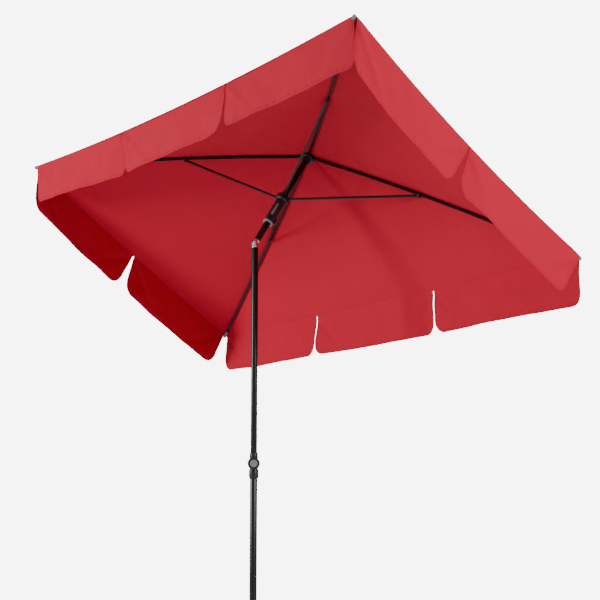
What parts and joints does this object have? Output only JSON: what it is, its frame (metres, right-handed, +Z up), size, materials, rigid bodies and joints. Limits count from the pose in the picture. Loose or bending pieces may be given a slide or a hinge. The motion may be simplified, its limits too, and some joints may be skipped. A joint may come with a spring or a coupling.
{
  "type": "patio umbrella",
  "caption": "Rectangular tilting patio umbrella with red polyester canopy and valance, folding steel ribs, height clamp, chrome tilt knuckle and disc base",
  "frame": {"origin": "middle of the underside of the base, on the pole's axis", "axes": "+Z up along the standing pole; +X along the canopy's long side, which is also the tilt axis; +Y is the side that the tilted shaft leans to"},
  "size_m": [2.2564, 1.0567, 2.3471],
  "materials": {
    "red_polyester": "matte",
    "black_paint": "satin",
    "black_plastic": "satin",
    "grey_plastic": "satin",
    "chrome": "polished",
    "zinc_steel": "satin",
    "rubber": "matte"
  },
  "bodies": {
    "base": {"base_underlay": "rubber", "base_plate": "black_paint", "base_socket": "black_paint", "base_sleeve": "black_plastic", "lower_pole": "black_paint", "lower_pole_foot": "black_plastic", "clamp_housing": "black_plastic"},
    "base_knob": {"base_knob": "black_plastic", "base_screw": "zinc_steel"},
    "clamp_pad": {"clamp_pad": "black_plastic"},
    "clamp_knob": {"clamp_knob": "black_plastic", "clamp_knob_face": "grey_plastic", "clamp_screw": "zinc_steel"},
    "pole_slider": {"slide_bush": "black_plastic"},
    "upper_pole": {"upper_pole": "black_paint", "upper_pole_end": "black_plastic", "knuckle_fork": "chrome", "knuckle_pin": "zinc_steel"},
    "shaft": {"knuckle_tongue": "chrome", "shaft_tube": "black_paint", "crown_hub": "black_plastic", "crown_wire": "zinc_steel", "finial": "black_plastic"},
    "runner": {"runner_sleeve": "black_plastic", "runner_lip": "grey_plastic", "runner_strip": "grey_plastic", "runner_wire": "zinc_steel"},
    "runner_button": {"runner_button": "black_plastic"},
    "rib_1": {"rib_1": "black_paint", "rib_tip_1": "grey_plastic", "rib_bracket_1": "black_plastic", "rib_rivet_1": "zinc_steel", "canopy_panel_1": "red_polyester"},
    "strut_1": {"strut_1": "black_paint"},
    "short_flap_1": {"valance_short_1": "red_polyester"},
    "long_flaps_1": {"valance_long_1": "red_polyester"},
    "rib_2": {"rib_2": "black_paint", "rib_tip_2": "grey_plastic", "rib_bracket_2": "black_plastic", "rib_rivet_2": "zinc_steel", "canopy_panel_2": "red_polyester"},
    "strut_2": {"strut_2": "black_paint"},
    "short_flap_2": {"valance_short_2": "red_polyester"},
    "long_flaps_2": {"valance_long_2": "red_polyester"},
    "rib_3": {"rib_3": "black_paint", "rib_tip_3": "grey_plastic", "rib_bracket_3": "black_plastic", "rib_rivet_3": "zinc_steel", "canopy_panel_3": "red_polyester"},
    "strut_3": {"strut_3": "black_paint"},
    "short_flap_3": {"valance_short_3": "red_polyester"},
    "long_flaps_3": {"valance_long_3": "red_polyester"},
    "rib_4": {"rib_4": "black_paint", "rib_tip_4": "grey_plastic", "rib_bracket_4": "black_plastic", "rib_rivet_4": "zinc_steel", "canopy_panel_4": "red_polyester"},
    "strut_4": {"strut_4": "black_paint"},
    "short_flap_4": {"valance_short_4": "red_polyester"},
    "long_flaps_4": {"valance_long_4": "red_polyester"}
  },
  "joints": [
    {"name": "pole_height", "type": "slide", "parent": "base", "child": "pole_slider", "axis": [0, 0, 1], "range_m": [-0.7, 0.05]},
    {"name": "pole_swivel", "type": "hinge", "parent": "pole_slider", "child": "upper_pole", "pos_m": [0, 0, 1], "axis": [0, 0, 1], "continuous": true},
    {"name": "tilt", "type": "hinge", "parent": "upper_pole", "child": "shaft", "pos_m": [0, 0, 1.851], "axis": [1, 0, 0], "range_deg": [0, 33.45]},
    {"name": "runner_slide", "type": "slide", "parent": "shaft", "child": "runner", "axis": [0, 0.5512, 0.8344], "range_m": [-0.081, 0]},
    {"name": "button_press", "type": "slide", "parent": "runner", "child": "runner_button", "axis": [0.342, 0.784, -0.518], "range_m": [-0.003, 0], "stiffness_N_per_m": 600, "springref_m": 0.001},
    {"name": "clamp_turn", "type": "hinge", "parent": "clamp_pad", "child": "clamp_knob", "pos_m": [0, 0, 1], "axis": [0.8241, -0.5664, 0], "range_deg": [0, 720]},
    {"name": "clamp_pad_slide", "type": "slide", "parent": "base", "child": "clamp_pad", "axis": [0.8241, -0.5664, 0], "range_m": [0, 0.0026]},
    {"name": "base_knob_turn", "type": "hinge", "parent": "base", "child": "base_knob", "pos_m": [0, 0, 0.3], "axis": [0, -1, 0], "range_deg": [0, 360]},
    {"name": "rib_fold_1", "type": "hinge", "parent": "shaft", "child": "rib_1", "pos_m": [0.01941, 0.24712, 2.24385], "axis": [0.4706, 0.7362, -0.4864], "range_deg": [0, 74], "deforming": ["canopy_panel_1", "valance_short_1", "valance_long_1"]},
    {"name": "strut_fold_1", "type": "hinge", "parent": "rib_1", "child": "strut_1", "pos_m": [0.48938, -0.02209, 2.29107], "axis": [0.4706, 0.7362, -0.4864], "range_deg": [-148.1, 0]},
    {"name": "flap_hang_1", "type": "hinge", "parent": "rib_1", "child": "short_flap_1", "pos_m": [1.125, -0.39203, 2.3461], "axis": [0.4706, 0.7362, -0.4864], "range_deg": [-74.1, 0]},
    {"name": "flap_level_1", "type": "hinge", "parent": "short_flap_1", "child": "long_flaps_1", "pos_m": [1.125, -0.39203, 2.3461], "axis": [1, 0, 0], "range_deg": [-33.5, 0]},
    {"name": "rib_fold_2", "type": "hinge", "parent": "shaft", "child": "rib_2", "pos_m": [0.01941, 0.2644, 2.23244], "axis": [-0.4706, 0.7362, -0.4864], "range_deg": [0, 74], "deforming": ["canopy_panel_2", "valance_short_2", "valance_long_2"]},
    {"name": "strut_fold_2", "type": "hinge", "parent": "rib_2", "child": "strut_2", "pos_m": [0.48938, 0.41345, 2.00333], "axis": [-0.4706, 0.7362, -0.4864], "range_deg": [-148.1, 0]},
    {"name": "flap_hang_2", "type": "hinge", "parent": "rib_2", "child": "short_flap_2", "pos_m": [1.125, 0.60921, 1.68464], "axis": [-0.4706, 0.7362, -0.4864], "range_deg": [-74.1, 0]},
    {"name": "flap_level_2", "type": "hinge", "parent": "short_flap_2", "child": "long_flaps_2", "pos_m": [1.125, 0.60921, 1.68464], "axis": [1, 0, 0], "range_deg": [-33.5, 0]},
    {"name": "rib_fold_3", "type": "hinge", "parent": "shaft", "child": "rib_3", "pos_m": [-0.01941, 0.2644, 2.23244], "axis": [-0.4706, -0.7362, 0.4864], "range_deg": [0, 74], "deforming": ["canopy_panel_3", "valance_short_3", "valance_long_3"]},
    {"name": "strut_fold_3", "type": "hinge", "parent": "rib_3", "child": "strut_3", "pos_m": [-0.48938, 0.41345, 2.00333], "axis": [-0.4706, -0.7362, 0.4864], "range_deg": [-148.1, 0]},
    {"name": "flap_hang_3", "type": "hinge", "parent": "rib_3", "child": "short_flap_3", "pos_m": [-1.125, 0.60921, 1.68464], "axis": [-0.4706, -0.7362, 0.4864], "range_deg": [-74.1, 0]},
    {"name": "flap_level_3", "type": "hinge", "parent": "short_flap_3", "child": "long_flaps_3", "pos_m": [-1.125, 0.60921, 1.68464], "axis": [1, 0, 0], "range_deg": [-33.5, 0]},
    {"name": "rib_fold_4", "type": "hinge", "parent": "shaft", "child": "rib_4", "pos_m": [-0.01941, 0.24712, 2.24385], "axis": [0.4706, -0.7362, 0.4864], "range_deg": [0, 74], "deforming": ["canopy_panel_4", "valance_short_4", "valance_long_4"]},
    {"name": "strut_fold_4", "type": "hinge", "parent": "rib_4", "child": "strut_4", "pos_m": [-0.48938, -0.02209, 2.29107], "axis": [0.4706, -0.7362, 0.4864], "range_deg": [-148.1, 0]},
    {"name": "flap_hang_4", "type": "hinge", "parent": "rib_4", "child": "short_flap_4", "pos_m": [-1.125, -0.39203, 2.3461], "axis": [0.4706, -0.7362, 0.4864], "range_deg": [-74.1, 0]},
    {"name": "flap_level_4", "type": "hinge", "parent": "short_flap_4", "child": "long_flaps_4", "pos_m": [-1.125, -0.39203, 2.3461], "axis": [1, 0, 0], "range_deg": [-33.5, 0]}
  ],
  "couplings": [
    {"joint": "clamp_pad_slide", "follows": "clamp_turn", "m_per_rad": 0.00019894},
    {"joint": "strut_fold_1", "follows": "rib_fold_1", "ratio": -2},
    {"joint": "flap_hang_1", "follows": "rib_fold_1", "ratio": -1},
    {"joint": "flap_level_1", "follows": "tilt", "ratio": -1},
    {"joint": "rib_fold_2", "follows": "rib_fold_1", "ratio": 1},
    {"joint": "strut_fold_2", "follows": "rib_fold_1", "ratio": -2},
    {"joint": "flap_hang_2", "follows": "rib_fold_1", "ratio": -1},
    {"joint": "flap_level_2", "follows": "tilt", "ratio": -1},
    {"joint": "rib_fold_3", "follows": "rib_fold_1", "ratio": 1},
    {"joint": "strut_fold_3", "follows": "rib_fold_1", "ratio": -2},
    {"joint": "flap_hang_3", "follows": "rib_fold_1", "ratio": -1},
    {"joint": "flap_level_3", "follows": "tilt", "ratio": -1},
    {"joint": "rib_fold_4", "follows": "rib_fold_1", "ratio": 1},
    {"joint": "strut_fold_4", "follows": "rib_fold_1", "ratio": -2},
    {"joint": "flap_hang_4", "follows": "rib_fold_1", "ratio": -1},
    {"joint": "flap_level_4", "follows": "tilt", "ratio": -1},
    {"joint": "runner_slide", "follows": "rib_fold_1", "m_per_rad": -0.061941}
  ]
}
